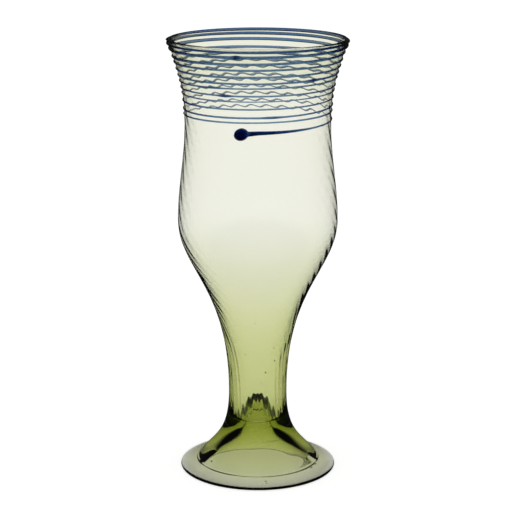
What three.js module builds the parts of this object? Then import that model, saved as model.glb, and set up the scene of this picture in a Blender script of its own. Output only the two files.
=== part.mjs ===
import * as THREE from 'three';

// A blown goblet on a hollow stem, with a thread of blue glass wound under its lip.
// Millimetres. The axis is +Z, the foot rests on z = 0 and the start of the thread faces -Y.

// Heights of the levels that shape the glass
const lipHeight = 200;
const throatHeight = 161.8;
const bellyHeight = 117.6;
const bowlSeamHeight = 60;
const waistHeight = 36.1;
const footSeamHeight = 23.4;
const creaseHeight = 3.3;

// Outer radius at each of those levels
const lipRadius = 40;
const throatRadius = 32.9;
const bellyRadius = 36.3;
const waistRadius = 13.4;
const creaseRadius = 28;

// Wall of the glass, measured level
const lipWall = 1.3;
const throatWall = 0.9;
const bellyWall = 0.9;
const waistWall = 3.5;

// How far each curve runs straight out of its level before it bends away
const lipFlareRise = 15.4;
const lipFlareSpread = 4.4;
const throatRunUp = 18.1;
const throatRunDown = 15.1;
const bellyRunUp = 15.1;
const bellyRunDown = 22.1;
const waistRunUp = 49.8;
const waistRunDown = 20.6;
const creaseRunIn = 7.6;
const creaseRunUp = 9;
const innerBellyRunDown = 20.7;
const innerWaistRunUp = 46.7;

// Flange of the foot, which stands on its rim
const flangeRadius = 36;
const flangeEdge = 0.9;
const flangeEdgeTilt = 80;
const restRadius = 34.6;
const restRunIn = 2;

// Groove round the kick, where the inside of the stem ends
const grooveRadius = 9.7;
const grooveWidth = 0.6;
const grooveRun = 4;

// Kick, the pushed-up floor
const kickHeight = 34.4;
const kickTipSpread = 4.5;
const kickSkirtRunIn = 2.8;
const kickSkirtRunUp = 4.8;

// Hollow under the foot and the kick: a flare up to its bend, then a steep cone with a round tip
const hollowRadius = 27;
const hollowFoot = 1.7;
const hollowFootRunIn = 5.5;
const hollowFootSlope = 0.39;
const hollowEdgeRun = 3.5;
const hollowBendRadius = 6.6;
const hollowBendHeight = 18.2;
const hollowBendSlope = 1.8;
const hollowBendRunDown = 4;
const hollowBendRunUp = 3;
const hollowHeight = 31.2;
const hollowTipSpread = 0.8;

// Thread and its drop
const threadThickness = 0.9;
const threadTurns = 12.75;
const threadStartTurn = 2 / 24;
const threadBelowLip = 0.9;
const threadBand = 36.1;
const threadArch = 2.1;
const dropTurn = -0.035;
const dropWidth = 6.5;
const dropHeight = 5.6;
const dropThickness = 2.6;
const tailThickness = 1.4;

// Clearances between pieces
const seatClearance = 0.3;
const layClearance = 0.2;

// Fineness of the faceted surfaces
const sides = 48;
const threadSteps = 24;
const threadSides = 6;
const dropSides = 12;

const greenGlass = new THREE.MeshStandardMaterial({
  color: 0xd9ddb8,
  roughness: 0.05,
  metalness: 0,
  transparent: true,
  opacity: 0.45,
});
const thickGreenGlass = new THREE.MeshStandardMaterial({
  color: 0xb4bd72,
  roughness: 0.05,
  metalness: 0,
  transparent: true,
  opacity: 0.6,
});
const blueGlass = new THREE.MeshStandardMaterial({
  color: 0x12207a,
  roughness: 0.08,
  metalness: 0,
});

const goblet = new THREE.Group();

// A curve of the section, drawn as radius and height
function sectionCurve(start, startRun, endRun, end) {
  return new THREE.CubicBezierCurve(
    new THREE.Vector2(start[0], start[1]),
    new THREE.Vector2(start[0] + startRun[0], start[1] + startRun[1]),
    new THREE.Vector2(end[0] + endRun[0], end[1] + endRun[1]),
    new THREE.Vector2(end[0], end[1]),
  );
}

// The place along a rising or falling curve where it passes a height
function placeAtHeight(curve, height) {
  const rising = curve.v3.y > curve.v0.y;
  let low = 0;
  let high = 1;
  for (let halving = 0; halving < 40; halving++) {
    const middle = (low + high) / 2;
    const below = curve.getPoint(middle).y < height;
    if (below === rising) low = middle;
    else high = middle;
  }
  return (low + high) / 2;
}

// Points of a curve from one height to another, with both heights exact
function slice(curve, fromHeight, toHeight, steps) {
  const from = placeAtHeight(curve, fromHeight);
  const to = placeAtHeight(curve, toHeight);
  const points = [];
  for (let step = 0; step <= steps; step++) {
    points.push(curve.getPoint(from + (to - from) * step / steps));
  }
  points[0].y = fromHeight;
  points[steps].y = toHeight;
  return points;
}

// Part of a circle in the section, from one angle to another in degrees
function arc(radius, height, round, fromAngle, toAngle, steps) {
  const points = [];
  for (let step = 0; step <= steps; step++) {
    const angle = THREE.MathUtils.degToRad(fromAngle + (toAngle - fromAngle) * step / steps);
    points.push(new THREE.Vector2(radius + round * Math.cos(angle), height + round * Math.sin(angle)));
  }
  return points;
}

// Joins stretches of a section and leaves out the points that two of them share
function joinStretches(...stretches) {
  const outline = [];
  for (const point of stretches.flat()) {
    const last = outline[outline.length - 1];
    if (!last || last.distanceTo(point) > 1e-4) outline.push(point);
  }
  return outline;
}

// Turns a section round the axis, with the first corner facing -Y
function turned(name, outline, material, closed) {
  const section = closed ? [...outline, outline[0].clone()] : outline;
  const geometry = new THREE.LatheGeometry(section, sides);
  geometry.rotateX(Math.PI / 2);
  const mesh = new THREE.Mesh(geometry, material);
  mesh.name = name;
  goblet.add(mesh);
}

// The three curves of the bowl, from the waist up, for the outer face or, with the walls, the inner one
function bowlCurves(wall, waistRun, bellyRun) {
  const waist = [waistRadius - wall.waist, waistHeight];
  const belly = [bellyRadius - wall.belly, bellyHeight];
  const throat = [throatRadius - wall.throat, throatHeight];
  const lip = [lipRadius - wall.lip, lipHeight - lipWall / 2];
  return {
    waistToBelly: sectionCurve(waist, [0, waistRun], [0, -bellyRun], belly),
    bellyToThroat: sectionCurve(belly, [0, bellyRunUp], [0, -throatRunDown], throat),
    throatToLip: sectionCurve(throat, [0, throatRunUp], [-lipFlareSpread, -lipFlareRise], lip),
  };
}

const noWall = { waist: 0, belly: 0, throat: 0, lip: 0 };
const fullWall = { waist: waistWall, belly: bellyWall, throat: throatWall, lip: lipWall };
const outer = bowlCurves(noWall, waistRunUp, bellyRunDown);
const inner = bowlCurves(fullWall, innerWaistRunUp, innerBellyRunDown);
const outerSkirt = sectionCurve(
  [waistRadius, waistHeight],
  [0, -waistRunDown],
  [-creaseRunIn, creaseRunUp],
  [creaseRadius, creaseHeight],
);
const stemInside = sectionCurve(
  [waistRadius - waistWall, waistHeight],
  [0, -grooveRun],
  [0, grooveRun],
  [grooveRadius, footSeamHeight],
);
const hollowFlare = sectionCurve(
  [hollowRadius, hollowFoot],
  [-hollowFootRunIn, hollowFootRunIn * hollowFootSlope],
  [hollowBendRunDown / hollowBendSlope, -hollowBendRunDown],
  [hollowBendRadius, hollowBendHeight],
);
const hollowTip = sectionCurve(
  [hollowBendRadius, hollowBendHeight],
  [-hollowBendRunUp / hollowBendSlope, hollowBendRunUp],
  [hollowTipSpread, 0],
  [0, hollowHeight],
);

// The outer face of the bowl, kept because the thread lies on it
const bowlOuter = joinStretches(
  slice(outer.waistToBelly, bowlSeamHeight, bellyHeight, 7),
  slice(outer.bellyToThroat, bellyHeight, throatHeight, 4),
  slice(outer.throatToLip, throatHeight, lipHeight - lipWall / 2, 5),
);

function makeBowl() {
  const lip = arc(lipRadius - lipWall / 2, lipHeight - lipWall / 2, lipWall / 2, 0, 180, 4);
  const bowlInner = joinStretches(
    slice(inner.waistToBelly, bowlSeamHeight, bellyHeight, 7),
    slice(inner.bellyToThroat, bellyHeight, throatHeight, 4),
    slice(inner.throatToLip, throatHeight, lipHeight - lipWall / 2, 5),
  );
  turned('bowl', joinStretches(bowlOuter, lip, bowlInner.reverse()), greenGlass, true);
}

function makeStem() {
  const outside = joinStretches(
    slice(outerSkirt, footSeamHeight, waistHeight, 3),
    slice(outer.waistToBelly, waistHeight, bowlSeamHeight, 3),
  );
  const inside = joinStretches(
    slice(stemInside, footSeamHeight, waistHeight, 3),
    slice(inner.waistToBelly, waistHeight, bowlSeamHeight, 3),
  );
  turned('stem', joinStretches(outside, inside.reverse()), greenGlass, true);
}

function makeFoot() {
  const edgeRound = flangeEdge / 2;
  const edgeRadius = flangeRadius - edgeRound;
  const hollow = joinStretches(
    slice(hollowTip, footSeamHeight, hollowBendHeight, 3),
    slice(hollowFlare, hollowBendHeight, hollowFoot, 8),
  );
  const underside = sectionCurve(
    [hollowRadius, hollowFoot],
    [hollowEdgeRun, -hollowEdgeRun * hollowFootSlope],
    [-restRunIn, 0],
    [restRadius, 0],
  );
  const edge = arc(edgeRadius, edgeRound, edgeRound, -90, flangeEdgeTilt, 6);
  const skirt = slice(outerSkirt, creaseHeight, footSeamHeight, 8);
  turned('foot', joinStretches(hollow, underside.getPoints(5), edge, skirt), thickGreenGlass, true);
}

function makeKick() {
  const topCurve = sectionCurve(
    [0, kickHeight],
    [kickTipSpread, 0],
    [-kickSkirtRunIn, kickSkirtRunUp],
    [grooveRadius - grooveWidth, footSeamHeight],
  );
  const hollow = slice(hollowTip, hollowHeight, footSeamHeight, 6);
  turned('kick', joinStretches(hollow, topCurve.getPoints(8).reverse()), thickGreenGlass, false);
}

// The faceted outer face of the bowl at a height: its radius and its slope, as radius gained by height
function bowlFace(height) {
  let step = 1;
  while (step < bowlOuter.length - 1 && bowlOuter[step].y < height) step++;
  const below = bowlOuter[step - 1];
  const above = bowlOuter[step];
  const slope = (above.x - below.x) / (above.y - below.y);
  return { radius: below.x + slope * (height - below.y), slope };
}

// How high the thread lies after a number of turns, with wider spacing low down than at the lip
function threadHeight(turn) {
  const share = turn / threadTurns;
  const straight = lipHeight - threadBelowLip - threadBand * (1 - share);
  return straight + threadArch * 4 * share * (1 - share);
}

// A point over the outer face, where glass of the given half thickness lies clear of it
function layPoint(turn, halfThickness) {
  const height = threadHeight(turn);
  const face = bowlFace(height);
  const lift = (halfThickness + layClearance) * Math.hypot(1, face.slope);
  const radius = (face.radius + lift) / Math.cos(Math.PI / threadSteps);
  const angle = 2 * Math.PI * turn;
  return new THREE.Vector3(radius * Math.sin(angle), -radius * Math.cos(angle), height);
}

// The direction in which the thread runs
function layDirection(turn, halfThickness) {
  const reach = 0.001;
  const ahead = layPoint(turn + reach, halfThickness);
  return ahead.sub(layPoint(turn - reach, halfThickness)).normalize();
}

// One closed body of rings about a path, each ring with its own half height and half thickness
function loft(name, stations, ringSides, material) {
  const positions = [];
  const indices = [];
  for (const { centre, direction, halfHeight, halfThickness } of stations) {
    const out = new THREE.Vector3(centre.x, centre.y, 0).normalize();
    out.addScaledVector(direction, -out.dot(direction)).normalize();
    const up = new THREE.Vector3().crossVectors(out, direction);
    for (let side = 0; side < ringSides; side++) {
      const angle = 2 * Math.PI * (side + 0.5) / ringSides;
      const point = centre.clone();
      point.addScaledVector(out, halfThickness * Math.cos(angle));
      point.addScaledVector(up, halfHeight * Math.sin(angle));
      positions.push(point.x, point.y, point.z);
    }
  }
  for (let ring = 0; ring < stations.length - 1; ring++) {
    for (let side = 0; side < ringSides; side++) {
      const a = ring * ringSides + side;
      const b = ring * ringSides + (side + 1) % ringSides;
      indices.push(a, a + ringSides, b, b, a + ringSides, b + ringSides);
    }
  }
  const lastRing = (stations.length - 1) * ringSides;
  for (let side = 1; side < ringSides - 1; side++) {
    indices.push(0, side, side + 1);
    indices.push(lastRing, lastRing + side + 1, lastRing + side);
  }
  const geometry = new THREE.BufferGeometry();
  geometry.setAttribute('position', new THREE.Float32BufferAttribute(positions, 3));
  geometry.setIndex(indices);
  geometry.computeVertexNormals();
  const mesh = new THREE.Mesh(geometry, material);
  mesh.name = name;
  goblet.add(mesh);
}

// The way round the bowl at the thread's height
function turnLength(turn) {
  return 2 * Math.PI * bowlFace(threadHeight(turn)).radius;
}

// The thread lies in one unbroken winding and runs straight for its own thickness at both ends
function makeThread() {
  const half = threadThickness / 2;
  const firstStep = Math.round(threadStartTurn * threadSteps);
  const lastStep = Math.round(threadTurns * threadSteps);
  const stations = [];
  for (let step = firstStep; step <= lastStep; step++) {
    const turn = step / threadSteps;
    const centre = layPoint(turn, half);
    stations.push({ centre, direction: layDirection(turn, half), halfHeight: half, halfThickness: half });
  }
  for (const [end, sense] of [[stations[0], -1], [stations[stations.length - 1], 1]]) {
    const centre = end.centre.clone().addScaledVector(end.direction, sense * threadThickness);
    if (sense < 0) stations.unshift({ ...end, centre });
    else stations.push({ ...end, centre });
  }
  loft('spiral_thread', stations, threadSides, blueGlass);
  reportThreadGap(stations.map((station) => station.centre));
}

// Prints the least gap between two turns of the winding, from the points along its middle
function reportThreadGap(centres) {
  let least = Infinity;
  for (let near = 0; near < centres.length; near++) {
    for (let far = near + threadSteps / 2; far < centres.length; far++) {
      least = Math.min(least, centres[near].distanceTo(centres[far]));
    }
  }
  console.log(`spiral_thread: least gap to itself ${(least - threadThickness).toFixed(2)} mm`);
}

// The drop swells from a blunt start and draws out to the tail, whose flat end meets the thread
function makeDrop() {
  const half = threadThickness / 2;
  const roundSteps = 6;
  const tailSteps = 6;
  const stations = [];
  const halfTurns = dropWidth / 2 / turnLength(dropTurn);
  for (let step = 0; step <= roundSteps; step++) {
    const along = Math.cos(Math.PI * (1 - 0.85 * (step + 0.4) / roundSteps));
    const swell = Math.sqrt(1 - along * along);
    stations.push(dropStation(dropTurn + halfTurns * along, swell * dropHeight / 2, swell * dropThickness / 2));
  }
  const tailStart = dropTurn + halfTurns * 1.3;
  const meeting = layPoint(threadStartTurn, half);
  const direction = layDirection(threadStartTurn, half);
  const tailEnd = threadStartTurn - (threadThickness + seatClearance) / turnLength(threadStartTurn);
  for (let step = 0; step < tailSteps; step++) {
    const share = step / tailSteps;
    const tailHalf = THREE.MathUtils.lerp(tailThickness, threadThickness, share) / 2;
    stations.push(dropStation(THREE.MathUtils.lerp(tailStart, tailEnd, share), tailHalf, tailHalf));
  }
  const end = meeting.addScaledVector(direction, -(threadThickness + seatClearance));
  stations.push({ centre: end, direction, halfHeight: half, halfThickness: half });
  loft('thread_drop', stations, dropSides, blueGlass);
}

function dropStation(turn, halfHeight, halfThickness) {
  return {
    centre: layPoint(turn, halfThickness),
    direction: layDirection(turn, halfThickness),
    halfHeight,
    halfThickness,
  };
}

makeBowl();
makeStem();
makeFoot();
makeKick();
makeThread();
makeDrop();

export default goblet;
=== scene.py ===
import bpy
import math
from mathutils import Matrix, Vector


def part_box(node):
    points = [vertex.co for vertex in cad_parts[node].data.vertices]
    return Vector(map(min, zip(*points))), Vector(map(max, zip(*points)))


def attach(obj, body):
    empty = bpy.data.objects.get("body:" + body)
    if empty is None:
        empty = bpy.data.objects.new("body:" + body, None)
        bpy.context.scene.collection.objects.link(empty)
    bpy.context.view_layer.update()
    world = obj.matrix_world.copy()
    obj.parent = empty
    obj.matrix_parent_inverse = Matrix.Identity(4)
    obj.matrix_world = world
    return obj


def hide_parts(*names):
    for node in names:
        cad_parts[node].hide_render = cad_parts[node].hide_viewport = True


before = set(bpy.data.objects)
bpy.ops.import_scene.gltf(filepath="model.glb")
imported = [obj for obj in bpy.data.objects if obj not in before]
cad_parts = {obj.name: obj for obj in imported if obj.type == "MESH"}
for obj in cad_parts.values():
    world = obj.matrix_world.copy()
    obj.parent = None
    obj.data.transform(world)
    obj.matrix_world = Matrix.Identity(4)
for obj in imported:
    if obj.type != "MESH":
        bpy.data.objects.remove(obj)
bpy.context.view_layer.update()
mm = 0.001


def say(text):
    print("goblet:", text)


def nodeTop(node):
    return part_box(node)[1].z / mm


def nodeRadius(node):
    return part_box(node)[1].x / mm


def mix(a, b, share):
    return a + (b - a) * share


def smooth(low, high, value):
    t = min(1.0, max(0.0, (value - low) / (high - low)))
    return t * t * (3 - 2 * t)


def onRing(radius, angle, height):
    # millimetres to a point of the scene; the angle starts at the front and grows to the right
    return (radius * math.sin(angle) * mm, -radius * math.cos(angle) * mm, height * mm)


# Green glass: one blown bubble, drawn as a section in mm (radius, height)

vesselShape = {
    "lipHeight": nodeTop("bowl"),
    "lipRadius": nodeRadius("bowl"),
    "lipRun": (-4.4, -15.4),            # a run: how far the curve keeps its direction there
    "throatHeight": 161.8,
    "throatRadius": 32.9,
    "throatRuns": (15.1, 18.1),         # downwards, upwards, as in every name with Runs
    "bellyHeight": 117.6,
    "bellyRadius": 36.3,
    "bellyRuns": (22.1, 15.1),
    "waistHeight": 36.1,
    "waistRadius": 13.4,
    "waistRuns": (20.6, 49.8),
    "creaseHeight": 3.3,
    "creaseRadius": 28.0,
    "creaseStep": 0.6,
    "skirtRun": (7.6, 9.0),             # inwards, upwards, as for the kick and the hollow
    "lipWall": 1.3,                     # walls are thicknesses of the glass
    "throatWall": 0.5,
    "bellyWall": 0.45,
    "waistWall": 3.5,
    "innerBellyRun": 20.7,
    "innerWaistRun": 46.7,
    "grooveHeight": 23.4,
    "grooveRadius": 9.7,
    "innerWallRuns": (4.0, 4.0),
    "kickHeight": nodeTop("kick"),
    "kickTipSpread": 4.5,
    "kickSkirtRun": (2.8, 4.8),
    "hollowRadius": 27.0,
    "hollowFoot": 1.7,
    "hollowFootRun": (5.5, 2.145),
    "hollowEdgeRun": 3.5,
    "bendRadius": 6.6,
    "bendHeight": 18.2,
    "bendSlope": 1.8,
    "bendRuns": (4.0, 3.0),
    "hollowHeight": 31.2,
    "hollowTipSpread": 0.8,
    "flangeRadius": nodeRadius("foot"),
    "flangeEdge": 0.7,
    "flangeEdgeTilt": 80,
    "flangeRunDown": (2.4, -0.8),       # radius, height
    "flangeRunIn": (-2.6, 0.4),
    "restRadius": 34.9,
    "restRun": 1.2,
}

# The small overhang of the crease and the bottom of the groove, as (outwards, upwards)
creaseSteps = [(0.5, 0.85), (0.75, 0.5), (0.8, 0.1), (1.2, -0.15)]      # in shares of creaseStep
grooveSteps = [(-0.6, 0.0), (-0.3, -0.15), (-0.05, 0.05), (0.0, 0.4)]   # in mm

ribShape = {
    "count": 32,
    "depthAtLip": 0.010,
    "depthAtThroat": 0.022,
    "depthAtBelly": 0.02,
    "depthAtNeck": 0.013,
    "depthAtWaist": 0.055,
    "fadeAtLip": (7.0, 1.5),            # from and to this far under the lip
    "fadeAtFoot": (21.0, 9.0),          # from this height, over this length
    "innerShare": 0.4,
    "turnUpper": 1.2,                   # degrees for each mm of height
    "turnNeck": 0.9,
    "neckHeight": 86.0,
    "neckSpread": 22.0,
    "turnStem": 0.15,
    "stemTop": 70.0,
    "stemFade": (25.0, 15.0),           # from this far below the top of the stem, to this far above
    "wander": 0.25,
    "wanderWaves": 3,
    "wanderLengths": (19.0, 31.0),
}

meshFineness = {
    "perRib": 12,
    "step": 0.85,
    "kickStep": 0.5,
    "underStep": 0.6,
    "least": 0.02,                      # points closer than this are one point
    "tipRadius": 0.05,
    "longCurve": 120,                   # curves and bends: how many steps they are drawn in
    "curve": 80,
    "shortCurve": 60,
    "wallCurve": 30,
    "flangeCurve": 20,
    "underCurve": 16,
    "edgeBend": 14,
    "lipBend": 12,
    "seedSteps": 10,
    "seedSides": 8,
    "seedBlunt": 0.25,                  # how blunt the ends of a bubble are, in steps
}


def bezier(start, startRun, endRun, end, steps):
    # a cubic stretch of the section; the runs are measured from its two ends
    p1 = (start[0] + startRun[0], start[1] + startRun[1])
    p2 = (end[0] + endRun[0], end[1] + endRun[1])
    points = []
    for i in range(steps + 1):
        t = i / steps
        a, b, c, d = (1 - t) ** 3, 3 * (1 - t) ** 2 * t, 3 * (1 - t) * t * t, t ** 3
        points.append((a * start[0] + b * p1[0] + c * p2[0] + d * end[0],
                       a * start[1] + b * p1[1] + c * p2[1] + d * end[1]))
    return points


def roundBend(radius, height, bend, fromAngle, toAngle, steps):
    points = []
    for i in range(steps + 1):
        angle = math.radians(mix(fromAngle, toAngle, i / steps))
        points.append((radius + bend * math.cos(angle), height + bend * math.sin(angle)))
    return points


def evenly(points, step):
    # walks along a line of points and sets new ones at an even spacing
    lengths = [0.0]
    for a, b in zip(points, points[1:]):
        lengths.append(lengths[-1] + math.dist(a, b))
    count = max(1, round(lengths[-1] / step))
    result, k = [], 0
    for i in range(count + 1):
        want = lengths[-1] * i / count
        while k < len(points) - 2 and lengths[k + 1] < want:
            k += 1
        share = (want - lengths[k]) / max(1e-9, lengths[k + 1] - lengths[k])
        a, b = points[k], points[k + 1]
        result.append((mix(a[0], b[0], share), mix(a[1], b[1], share)))
    return result


def bowlLine(wallLip, wallThroat, wallBelly, wallWaist, waistRun, bellyRun):
    # from the waist up to just under the lip, for one face of the glass
    s, fine = vesselShape, meshFineness
    throatDown, throatUp = s["throatRuns"]
    waist = (s["waistRadius"] - wallWaist, s["waistHeight"])
    belly = (s["bellyRadius"] - wallBelly, s["bellyHeight"])
    throat = (s["throatRadius"] - wallThroat, s["throatHeight"])
    lip = (s["lipRadius"] - wallLip, s["lipHeight"] - s["lipWall"] / 2)
    return (bezier(waist, (0, waistRun), (0, -bellyRun), belly, fine["longCurve"])
            + bezier(belly, (0, s["bellyRuns"][1]), (0, -throatDown), throat, fine["shortCurve"])[1:]
            + bezier(throat, (0, throatUp), s["lipRun"], lip, fine["shortCurve"])[1:])


def outerLine():
    s = vesselShape
    runIn, runUp = s["skirtRun"]
    waistDown, waistUp = s["waistRuns"]
    skirt = bezier((s["creaseRadius"], s["creaseHeight"] + s["creaseStep"]), (-runIn, runUp),
                   (0, -waistDown), (s["waistRadius"], s["waistHeight"]), meshFineness["curve"])
    return skirt + bowlLine(0, 0, 0, 0, waistUp, s["bellyRuns"][0])[1:]


def innerLine():
    s = vesselShape
    waistDown, grooveUp = s["innerWallRuns"]
    out, up = grooveSteps[3]
    wall = bezier((s["grooveRadius"] + out, s["grooveHeight"] + up), (0, grooveUp), (0, -waistDown),
                  (s["waistRadius"] - s["waistWall"], s["waistHeight"]), meshFineness["wallCurve"])
    bowl = bowlLine(s["lipWall"], s["throatWall"], s["bellyWall"], s["waistWall"],
                    s["innerWaistRun"], s["innerBellyRun"])
    return wall + bowl[1:]


def hollowLine():
    # under the foot: a flare, a bend and a steep cone up to its round tip
    s, steps = vesselShape, meshFineness["curve"]
    footIn, footUp = s["hollowFootRun"]
    bendDown, bendUp = s["bendRuns"]
    bend = (s["bendRadius"], s["bendHeight"])
    flare = bezier((s["hollowRadius"], s["hollowFoot"]), (-footIn, footUp),
                   (bendDown / s["bendSlope"], -bendDown), bend, steps)
    tip = bezier(bend, (-bendUp / s["bendSlope"], bendUp), (s["hollowTipSpread"], 0),
                 (0, s["hollowHeight"]), steps)
    return flare + tip[1:]


def ribTurnTable():
    # how far the ribs have turned at each height, in degrees, summed up from the foot
    r = ribShape
    below, above = r["stemFade"]
    table, turned = [], 0.0
    for height in range(0, round(vesselShape["lipHeight"]) + 2):
        rate = mix(r["turnStem"], r["turnUpper"], smooth(r["stemTop"] - below, r["stemTop"] + above, height))
        rate += r["turnNeck"] * math.exp(-((height - r["neckHeight"]) / r["neckSpread"]) ** 2)
        table.append(turned)
        turned += rate
    return table


ribTable = ribTurnTable()


def ribWave(angle, height):
    # 1 on a rib's crest, -1 between two ribs
    r = ribShape
    low = int(max(0, min(len(ribTable) - 2, height)))
    turned = mix(ribTable[low], ribTable[low + 1], height - low)
    first, second = r["wanderLengths"]
    wander = r["wander"] * math.sin(r["wanderWaves"] * angle + height / first)
    wander *= math.sin(height / second + angle)
    return math.cos(r["count"] * (angle + math.radians(turned)) + wander)


def ribDepth(height):
    s, r = vesselShape, ribShape
    places = [(s["waistHeight"], r["depthAtWaist"]), (r["neckHeight"], r["depthAtNeck"]),
              (s["bellyHeight"], r["depthAtBelly"]), (s["throatHeight"], r["depthAtThroat"]),
              (s["lipHeight"], r["depthAtLip"])]
    k = 0
    while k < len(places) - 2 and height > places[k + 1][0]:
        k += 1
    (low, lowDepth), (high, highDepth) = places[k], places[k + 1]
    depth = mix(lowDepth, highDepth, smooth(low, high, height))
    fadeFrom, fadeTo = r["fadeAtLip"]
    depth *= 1 - smooth(s["lipHeight"] - fadeFrom, s["lipHeight"] - fadeTo, height)
    footFrom, footLength = r["fadeAtFoot"]
    return depth * smooth(footFrom, footFrom + footLength, height)


def vesselSection():
    # the whole closed section from the tip of the kick, up the inside, over the lip, down the
    # outside, under the foot and up to the hollow; each point with its rib depth and its dent share
    s, fine = vesselShape, meshFineness
    runIn, runUp = s["kickSkirtRun"]
    groove = [(s["grooveRadius"] + out, s["grooveHeight"] + up) for out, up in grooveSteps]
    kick = bezier((0, s["kickHeight"]), (s["kickTipSpread"], 0), (-runIn, runUp), groove[0],
                  fine["shortCurve"])
    lip = roundBend(s["lipRadius"] - s["lipWall"] / 2, s["lipHeight"] - s["lipWall"] / 2,
                    s["lipWall"] / 2, 180, 0, fine["lipBend"])
    half = s["flangeEdge"] / 2
    edge = roundBend(s["flangeRadius"] - half, half, half, s["flangeEdgeTilt"], -90, fine["edgeBend"])
    step = s["creaseStep"]
    crease = [(s["creaseRadius"] + out * step, s["creaseHeight"] + up * step) for out, up in creaseSteps]
    flange = bezier(crease[-1], s["flangeRunDown"], s["flangeRunIn"], edge[0], fine["flangeCurve"])
    rest = (s["restRadius"], 0)
    footIn, footUp = s["hollowFootRun"]
    edgeRun = s["hollowEdgeRun"]
    under = bezier(rest, (-s["restRun"], 0), (edgeRun, -edgeRun * footUp / footIn),
                   (s["hollowRadius"], s["hollowFoot"]), fine["underCurve"])
    stretches = [                       # points, share of the ribs, share of the dents
        (evenly(kick, fine["kickStep"]), 0, 0),
        (groove[1:3], 0, 0),
        (evenly(innerLine(), fine["step"]), -ribShape["innerShare"], 0),
        (lip, 0, 0),
        (evenly(outerLine()[::-1], fine["step"]), 1, 0),
        (crease, 0, 0),
        (evenly(flange, fine["step"]), 0, 0),
        (edge, 0, 0),
        (evenly([edge[-1], rest], fine["step"]), 0, 0),
        (evenly(under, fine["underStep"]), 0, 1),
        (evenly(hollowLine(), fine["underStep"]), 0, 1),
    ]
    section = []
    for points, ribbed, dented in stretches:
        for radius, height in points:
            if section and math.dist(section[-1][:2], (radius, height)) < fine["least"]:
                continue
            section.append((max(0.0, radius), height, ribbed * ribDepth(height), dented))
    inner = [point for point in section[1:-1] if point[0] > fine["tipRadius"]]
    return [section[0]] + inner + [section[-1]]


# Air bubbles in the glass, in degrees and mm

seeds = [                               # flange, crease, one long streak, stem and neck
    {"angle": 7.0, "radius": 29.6, "height": 1.2, "length": 1.1, "size": 0.75},
    {"angle": 7.4, "radius": 31.4, "height": 1.1, "length": 0.9, "size": 0.55},
    {"angle": 57.0, "radius": 25.3, "height": 4.6, "length": 1.4, "size": 0.9},
    {"angle": 60.0, "radius": 28.3, "height": 1.9, "length": 1.8, "size": 0.8},
    {"angle": 70.0, "radius": 28.2, "height": 1.8, "length": 1.6, "size": 0.8},
    {"angle": -57.0, "radius": 24.8, "height": 4.9, "length": 1.3, "size": 0.8},
    {"angle": 22.5, "radius": 16.2, "height": 15.6, "length": 9.0, "size": 0.3},
    {"angle": 35.0, "radius": 12.9, "height": 53.6, "length": 0.7, "size": 0.7},
    {"angle": 16.0, "radius": 12.4, "height": 48.3, "length": 0.6, "size": 0.9},
    {"angle": 30.0, "radius": 14.2, "height": 60.2, "length": 0.6, "size": 0.6},
    {"angle": -4.0, "radius": 17.6, "height": 73.4, "length": 0.5, "size": 0.4},
    {"angle": -24.0, "radius": 13.0, "height": 57.0, "length": 0.5, "size": 0.5},
    {"angle": 8.0, "radius": 12.6, "height": 43.0, "length": 0.5, "size": 0.45},
]


def addSeeds(verts, faces):
    # small bubbles drawn out along the ring, with their skin facing the air inside
    fine = meshFineness
    steps, sides, blunt = fine["seedSteps"], fine["seedSides"], fine["seedBlunt"]
    for seed in seeds:
        first = len(verts)
        for i in range(steps + 1):
            swing = math.pi * (i + blunt) / (steps + 2 * blunt)
            angle = math.radians(seed["angle"]) - math.cos(swing) * seed["length"] / 2 / seed["radius"]
            reach = math.sin(swing) * seed["size"] / 2
            for k in range(sides):
                side = 2 * math.pi * k / sides
                verts.append(onRing(seed["radius"] + reach * math.cos(side), angle,
                                    seed["height"] + reach * math.sin(side)))
        for i in range(steps):
            for k in range(sides):
                a, b = first + i * sides + k, first + i * sides + (k + 1) % sides
                faces.append((a, b, b + sides, a + sides))
        last = first + steps * sides
        faces.append(tuple(range(first + sides - 1, first - 1, -1)))
        faces.append(tuple(range(last, last + sides)))


# Uneven places on the underside of the foot, in degrees and mm

dents = [
    {"angle": -66.0, "radius": 23.4, "rise": 0.75, "size": 3.7},
    {"angle": 78.0, "radius": 25.0, "rise": 0.4, "size": 2.0},
    {"angle": -34.0, "radius": 21.0, "rise": -0.18, "size": 4.2},
    {"angle": -8.0, "radius": 18.5, "rise": 0.14, "size": 3.6},
    {"angle": 14.0, "radius": 21.5, "rise": -0.12, "size": 3.4},
    {"angle": 40.0, "radius": 20.5, "rise": 0.16, "size": 4.0},
]


def dentRise(angle, radius):
    rise = 0.0
    for dent in dents:
        side = math.radians(dent["angle"])
        away = math.dist((radius * math.sin(angle), radius * math.cos(angle)),
                         (dent["radius"] * math.sin(side), dent["radius"] * math.cos(side)))
        rise += dent["rise"] * math.exp(-(away / dent["size"]) ** 2)
    return rise


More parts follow.
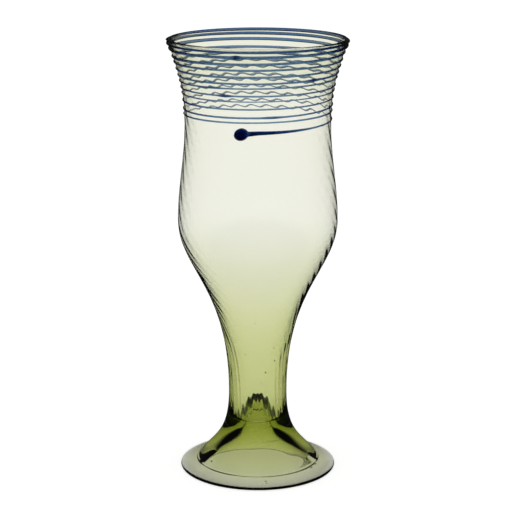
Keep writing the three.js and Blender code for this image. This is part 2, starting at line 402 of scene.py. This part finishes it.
def buildVessel():
    section = vesselSection()
    around = ribShape["count"] * meshFineness["perRib"]
    verts, faces = [], []
    rings = section[1:-1]
    for i, (radius, height, depth, dented) in enumerate(rings):
        before, after = section[i], section[i + 2]
        along = (after[0] - before[0], after[1] - before[1])
        length = math.hypot(*along)
        outR, outZ = along[1] / length, -along[0] / length
        if depth != 0:                  # on both faces this direction points away from the axis
            outR, outZ = abs(outR), (outZ if outR > 0 else -outZ)
        for k in range(around):
            angle = 2 * math.pi * k / around
            d = depth * ribWave(angle, height) if depth else 0.0
            r, z = radius + outR * d, height + outZ * d + dented * dentRise(angle, radius)
            verts.append(onRing(r, angle, z))
    top, bottom = len(verts), len(verts) + 1
    verts.append((0, 0, section[0][1] * mm))
    verts.append((0, 0, section[-1][1] * mm))
    for i in range(len(rings) - 1):
        for k in range(around):
            a, b = i * around + k, i * around + (k + 1) % around
            faces.append((a, a + around, b + around, b))
    last = (len(rings) - 1) * around
    for k in range(around):
        faces.append((top, k, (k + 1) % around))
        faces.append((bottom, last + (k + 1) % around, last + k))
    addSeeds(verts, faces)
    return verts, faces


def makeMesh(name, verts, faces, material):
    mesh = bpy.data.meshes.new(name)
    mesh.from_pydata(verts, [], faces)
    mesh.update()
    mesh.shade_smooth()
    piece = bpy.data.objects.new(name, mesh)
    bpy.context.scene.collection.objects.link(piece)
    piece.data.materials.append(material)
    return piece


# Glass: the volume colour is what is left of white light, the density is how fast it is lost

glassLook = {
    "green": {"ior": 1.5, "roughness": 0.0, "absorb": (0.63, 0.68, 0.08), "density": 195.0},
    "blue": {"ior": 1.5, "roughness": 0.0, "absorb": (0.06, 0.35, 0.65), "density": 4200.0},
}


def glassMaterial(name, look):
    material = bpy.data.materials.new(name)
    material.use_nodes = True
    nodes, links = material.node_tree.nodes, material.node_tree.links
    shader = nodes["Principled BSDF"]
    shader.inputs["Base Color"].default_value = (1, 1, 1, 1)
    shader.inputs["Roughness"].default_value = look["roughness"]
    shader.inputs["IOR"].default_value = look["ior"]
    shader.inputs["Transmission Weight"].default_value = 1.0
    volume = nodes.new("ShaderNodeVolumeAbsorption")
    volume.inputs["Color"].default_value = (*look["absorb"], 1)
    volume.inputs["Density"].default_value = look["density"]
    links.new(volume.outputs["Volume"], nodes["Material Output"].inputs["Volume"])
    return material


greenGlass = glassMaterial("green bottle glass", glassLook["green"])
blueGlass = glassMaterial("cobalt glass", glassLook["blue"])

verts, faces = buildVessel()
vessel = makeMesh("blown_vessel", verts, faces, greenGlass)
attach(vessel, "root")
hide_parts("bowl", "stem", "foot", "kick")
say(f"vessel of {len(faces)} faces")


# Blue thread, laid on the outer face, in mm and turns

threadShape = {
    # one width and one rise for each whole turn
    "widths": [0.75, 0.7, 0.8, 0.75, 0.6, 0.8, 0.72, 0.85, 0.95, 0.95, 1.25, 1.4, 1.15, 1.0],
    "rises": [0.47, 0.45, 0.51, 0.47, 0.43, 0.49, 0.47, 0.51, 0.51, 0.51, 0.56, 0.64, 0.8, 0.95],
    "waves": [(0.07, 7.3), (0.05, 23.1)],       # share of the width, speed along the thread
    "gap": 0.015,
    "turns": 12.75,
    "startTurn": 0.13,
    "stepsPerTurn": 180,
    "sides": 16,
    "underLip": 0.66,                           # above this the thread leans on the lip's own radius
    "halfTurnHeights": [
        162.8, 165.3, 167.3, 168.4, 169.4, 171.9, 173.1, 175.1, 176.5, 178.0, 178.9, 180.2, 182.3, 183.4,
        184.4, 186.0, 187.3, 188.8, 190.4, 191.2, 193.1, 194.8, 196.1, 197.3, 198.3, 198.9, 199.1,
    ],
    "slopeAtStart": 20.0,
    "riseAtStart": 1.5,
    "lumps": [                                  # turn, added width, length in turns
        (10.962, 0.8, 0.006), (4.932, 0.6, 0.012), (7.116, 0.5, 0.010), (2.03, 0.3, 0.02), (5.9, 0.25, 0.03),
        (10.75, 0.4, 0.06), (11.25, 0.5, 0.06), (11.75, 0.5, 0.07), (12.25, 0.25, 0.07), (12.72, 0.25, 0.05),
    ],
    "lumpRise": 0.8,
    "dropTurn": -0.035,
    "dropWidth": 6.5,
    "dropHeight": 5.6,
    "dropRise": 2.6,
    "dropEnd": 0.86,                            # share of its half round where the tail takes over
    "dropSteps": 26,
    "bluntEnd": 0.15,
    "leastSize": (0.3, 0.1),                    # least width and rise of the drop
    "tailWidth": 2.2,
    "tailRise": 2.3,
    "tailTaper": (0.7, 0.8),                    # powers for the width and the rise
    "tailSteps": 40,
    "neck": 0.045,                              # in shares of the tail
}

outerTable = outerLine()


def outerRadius(angle, height):
    # radius of the ribbed outer face
    low, high = 0, len(outerTable) - 1
    while high - low > 1:
        middle = (low + high) // 2
        if outerTable[middle][1] < height:
            low = middle
        else:
            high = middle
    a, b = outerTable[low], outerTable[high]
    share = min(1.0, max(0.0, (height - a[1]) / max(1e-6, b[1] - a[1])))
    return mix(a[0], b[0], share) + ribDepth(height) * ribWave(angle, height)


def threadHeight(turn):
    # passes through the heights where the thread crosses the front and the back
    t = threadShape
    heights = t["halfTurnHeights"]
    if turn < 0:
        return heights[0] + turn * t["slopeAtStart"]
    heights = [heights[0] - t["riseAtStart"]] + heights + [heights[-1]]
    k = min(len(heights) - 3, int(2 * turn) + 1)
    u = 2 * turn - (k - 1)
    p0, p1, p2, p3 = heights[k - 1], heights[k], heights[k + 1], heights[k + 2]
    return 0.5 * (2 * p1 + (p2 - p0) * u + (2 * p0 - 5 * p1 + 4 * p2 - p3) * u * u
                  + (3 * p1 - p0 - 3 * p2 + p3) * u ** 3)


def layRing(turn, width, rise):
    # a low mound across the thread: its flat side follows the glass under it
    t = threadShape
    sides, half = t["sides"], t["sides"] // 2
    angle = 2 * math.pi * turn
    centre = threadHeight(turn)
    ring = []
    for i in range(sides):
        if i <= half:
            across = -math.cos(math.pi * i / half)
            lift = math.sqrt(max(0.0, 1 - across * across)) * rise
        else:
            across = 1 - 2 * (i - half) / (sides - half)
            lift = 0.0
        height = centre + across * width / 2
        face = outerRadius(angle, min(height, vesselShape["lipHeight"] - t["underLip"]))
        ring.append(onRing(face + t["gap"] + lift, angle, height))
    return ring


def loftRings(rings):
    verts = [p for ring in rings for p in ring]
    sides, faces = len(rings[0]), []
    for i in range(len(rings) - 1):
        for k in range(sides):
            a, b = i * sides + k, i * sides + (k + 1) % sides
            faces.append((a, a + sides, b + sides, b))
    faces.append(tuple(range(sides)))
    faces.append(tuple(reversed(range((len(rings) - 1) * sides, len(rings) * sides))))
    return verts, faces


def threadSize(turn):
    # width and rise of the thread: fine low down, thicker towards the lip, with a few lumps
    t = threadShape
    k = min(len(t["widths"]) - 2, int(turn))
    width = mix(t["widths"][k], t["widths"][k + 1], turn - k)
    rise = mix(t["rises"][k], t["rises"][k + 1], turn - k)
    width *= 1 + sum(share * math.sin(turn * speed) for share, speed in t["waves"])
    for place, extra, length in t["lumps"]:
        swell = math.exp(-((turn - place) / length) ** 2)
        width += extra * swell
        rise += extra * swell * t["lumpRise"]
    return width, rise


def dropRings():
    # the round drop, its neck and the tail that thins down to the thread
    t = threadShape
    way = 2 * math.pi * outerRadius(0, threadHeight(t["dropTurn"]))
    reach = t["dropWidth"] / 2 / way            # half the drop, in turns
    endAngle, blunt = t["dropEnd"] * math.pi, t["bluntEnd"]
    leastWidth, leastRise = t["leastSize"]
    rings = []
    for i in range(t["dropSteps"] + 1):
        along = -math.cos(endAngle * (i + blunt) / (t["dropSteps"] + blunt))
        swell = math.sqrt(1 - along * along)
        rings.append(layRing(t["dropTurn"] + along * reach, max(leastWidth, swell * t["dropHeight"]),
                             max(leastRise, swell * t["dropRise"])))
    swellEnd = math.sin(endAngle)
    tailStart = t["dropTurn"] - math.cos(endAngle) * reach
    endWidth, endRise = threadSize(t["startTurn"])
    widthTaper, riseTaper = t["tailTaper"]
    for i in range(1, t["tailSteps"]):
        share = i / t["tailSteps"]
        neck = math.exp(-share / t["neck"])
        width = mix(t["tailWidth"], endWidth, share ** widthTaper)
        rise = mix(t["tailRise"], endRise, share ** riseTaper)
        rings.append(layRing(mix(tailStart, t["startTurn"], share),
                             mix(width, swellEnd * t["dropHeight"], neck),
                             mix(rise, swellEnd * t["dropRise"], neck)))
    return rings


def buildThread():
    t = threadShape
    rings = dropRings()
    first = math.ceil(t["startTurn"] * t["stepsPerTurn"])
    for i in range(first, round(t["turns"] * t["stepsPerTurn"]) + 1):
        turn = i / t["stepsPerTurn"]
        rings.append(layRing(turn, *threadSize(turn)))
    return loftRings(rings)


verts, faces = buildThread()
thread = makeMesh("blue_thread", verts, faces, blueGlass)
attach(thread, "root")
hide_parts("spiral_thread", "thread_drop")
say("thread and drop laid")


# Floor and light, with angles in degrees above the horizon

studio = {
    "floorSize": 8.0,
    "floorDepth": 0.0002,
    "floorColour": 0.8,
    "floorRoughness": 0.9,
    "glowInView": 0.5,
    "glowInGlass": 0.42,
    "whiteTop": 13.0,
    "darkFrom": 27.0,
    "dark": 0.002,
    "glossShare": 0.03,
    "leftAfterMirrors": (0.8, 0.12, 0.02),      # after one, two and three reflections in the glass
    "soft": 0.72,
    "bounces": 32,
    "glossBounces": 16,
}


def newMath(nodes, links, kind, a, b=None):
    node = nodes.new("ShaderNodeMath")
    node.operation = kind
    for socket, value in zip(node.inputs, (a, b)):
        if isinstance(value, (int, float)):
            socket.default_value = value
        elif value is not None:
            links.new(value, socket)
    return node.outputs[0]


def mirrorShare(nodes, links, path):
    # 1 for light straight through the glass, less after one, two or more reflections in it
    share = 1.0
    left = (1.0,) + studio["leftAfterMirrors"]
    for times in range(1, len(left)):
        over = newMath(nodes, links, "GREATER_THAN", path.outputs["Glossy Depth"], times - 0.5)
        loss = newMath(nodes, links, "MULTIPLY", over, left[times - 1] - left[times])
        share = newMath(nodes, links, "SUBTRACT", share, loss)
    return share


def reflectedRay(nodes, links, path):
    # clear glass marks the rays that it lets through as glossy too
    glossy, through = path.outputs["Is Glossy Ray"], path.outputs["Is Transmission Ray"]
    return newMath(nodes, links, "GREATER_THAN", newMath(nodes, links, "SUBTRACT", glossy, through), 0.5)


def makeFloor():
    s = studio
    bpy.ops.mesh.primitive_plane_add(size=s["floorSize"], location=(0, 0, -s["floorDepth"]))
    floor = bpy.context.object
    floor.name = "floor"
    material = bpy.data.materials.new("pale paper")
    material.use_nodes = True
    nodes, links = material.node_tree.nodes, material.node_tree.links
    shader = nodes["Principled BSDF"]
    shader.inputs["Roughness"].default_value = s["floorRoughness"]
    shader.inputs["Specular IOR Level"].default_value = 0.0
    shader.inputs["Emission Color"].default_value = (1, 1, 1, 1)
    path = nodes.new("ShaderNodeLightPath")
    # painted dark reflection: where a ray reaches the floor by a reflection, its colour and glow drop to a
    # small share. They drop further after one, two or three reflections inside the glass, so the glass shows
    # a dark floor there
    inGloss = newMath(nodes, links, "MULTIPLY", reflectedRay(nodes, links, path), 1 - s["glossShare"])
    share = newMath(nodes, links, "MULTIPLY", newMath(nodes, links, "SUBTRACT", 1.0, inGloss),
                    mirrorShare(nodes, links, path))
    shade = newMath(nodes, links, "MULTIPLY", share, s["floorColour"])
    colour = nodes.new("ShaderNodeCombineColor")
    for channel in colour.inputs[:3]:
        links.new(shade, channel)
    links.new(colour.outputs[0], shader.inputs["Base Color"])
    inView = newMath(nodes, links, "MULTIPLY", path.outputs["Is Camera Ray"], s["glowInView"])
    inGlass = newMath(nodes, links, "MULTIPLY", path.outputs["Is Transmission Ray"], s["glowInGlass"])
    glow = newMath(nodes, links, "MULTIPLY", newMath(nodes, links, "ADD", inView, inGlass), share)
    links.new(glow, shader.inputs["Emission Strength"])
    floor.data.materials.append(material)


def makeWorld():
    # white from under the horizon to a little above it, dark overhead
    s = studio
    world = bpy.data.worlds.new("studio")
    bpy.context.scene.world = world
    world.use_nodes = True
    nodes, links = world.node_tree.nodes, world.node_tree.links
    nodes.clear()
    out = nodes.new("ShaderNodeOutputWorld")
    back = nodes.new("ShaderNodeBackground")
    back.inputs["Color"].default_value = (1, 1, 1, 1)
    links.new(back.outputs[0], out.inputs["Surface"])
    place = nodes.new("ShaderNodeTexCoord")
    split = nodes.new("ShaderNodeSeparateXYZ")
    links.new(place.outputs["Generated"], split.inputs[0])
    elevation = newMath(nodes, links, "ARCSINE", split.outputs["Z"])
    ceiling = nodes.new("ShaderNodeMapRange")
    ceiling.interpolation_type = "SMOOTHSTEP"
    links.new(elevation, ceiling.inputs["Value"])
    ceiling.inputs["From Min"].default_value = math.radians(s["whiteTop"])
    ceiling.inputs["From Max"].default_value = math.radians(s["darkFrom"])
    ceiling.inputs["To Min"].default_value = 1.0
    ceiling.inputs["To Max"].default_value = s["dark"]
    path = nodes.new("ShaderNodeLightPath")
    # light that has met the floor or another matt face before is soft and even
    fromMatt = newMath(nodes, links, "GREATER_THAN", path.outputs["Diffuse Depth"], 0.5)
    throughGlass = newMath(nodes, links, "MULTIPLY", ceiling.outputs["Result"],
                           mirrorShare(nodes, links, path))
    kinds = ((path.outputs["Is Camera Ray"], 1.0),
             (reflectedRay(nodes, links, path), s["glossShare"]),
             (path.outputs["Is Transmission Ray"], throughGlass))
    direct, others = None, 1.0
    for kind, strength in kinds:
        share = newMath(nodes, links, "MULTIPLY", kind, strength)
        direct = share if direct is None else newMath(nodes, links, "ADD", direct, share)
        others = newMath(nodes, links, "SUBTRACT", others, kind)
    others = newMath(nodes, links, "MULTIPLY", newMath(nodes, links, "MAXIMUM", others, 0.0), s["soft"])
    direct = newMath(nodes, links, "ADD", direct, others)
    direct = newMath(nodes, links, "MULTIPLY", direct, newMath(nodes, links, "SUBTRACT", 1.0, fromMatt))
    soft = newMath(nodes, links, "MULTIPLY", fromMatt, s["soft"])
    links.new(newMath(nodes, links, "ADD", direct, soft), back.inputs["Strength"])


# Camera: distance and height in mm, angles in degrees

cameraPlace = {
    "distance": 761.0,
    "height": 292.3,
    "pitch": 14.14,
    "yaw": -0.096,
    "fieldOfView": 16.91,
    "sensor": 36,
    "nearest": 0.01,
}


def makeCamera():
    c = cameraPlace
    data = bpy.data.cameras.new("camera")
    camera = bpy.data.objects.new("camera", data)
    bpy.context.scene.collection.objects.link(camera)
    data.sensor_width = c["sensor"]
    data.lens = c["sensor"] / 2 / math.tan(math.radians(c["fieldOfView"] / 2))
    data.clip_start = c["nearest"]
    camera.location = (0, -c["distance"] * mm, c["height"] * mm)
    camera.rotation_euler = (math.radians(90 - c["pitch"]), 0, math.radians(-c["yaw"]))
    bpy.context.scene.camera = camera


makeFloor()
makeWorld()
makeCamera()

scene = bpy.context.scene
scene.view_settings.view_transform = "Standard"
scene.cycles.max_bounces = studio["bounces"]
scene.cycles.transmission_bounces = studio["bounces"]
scene.cycles.glossy_bounces = studio["glossBounces"]
say("studio set")
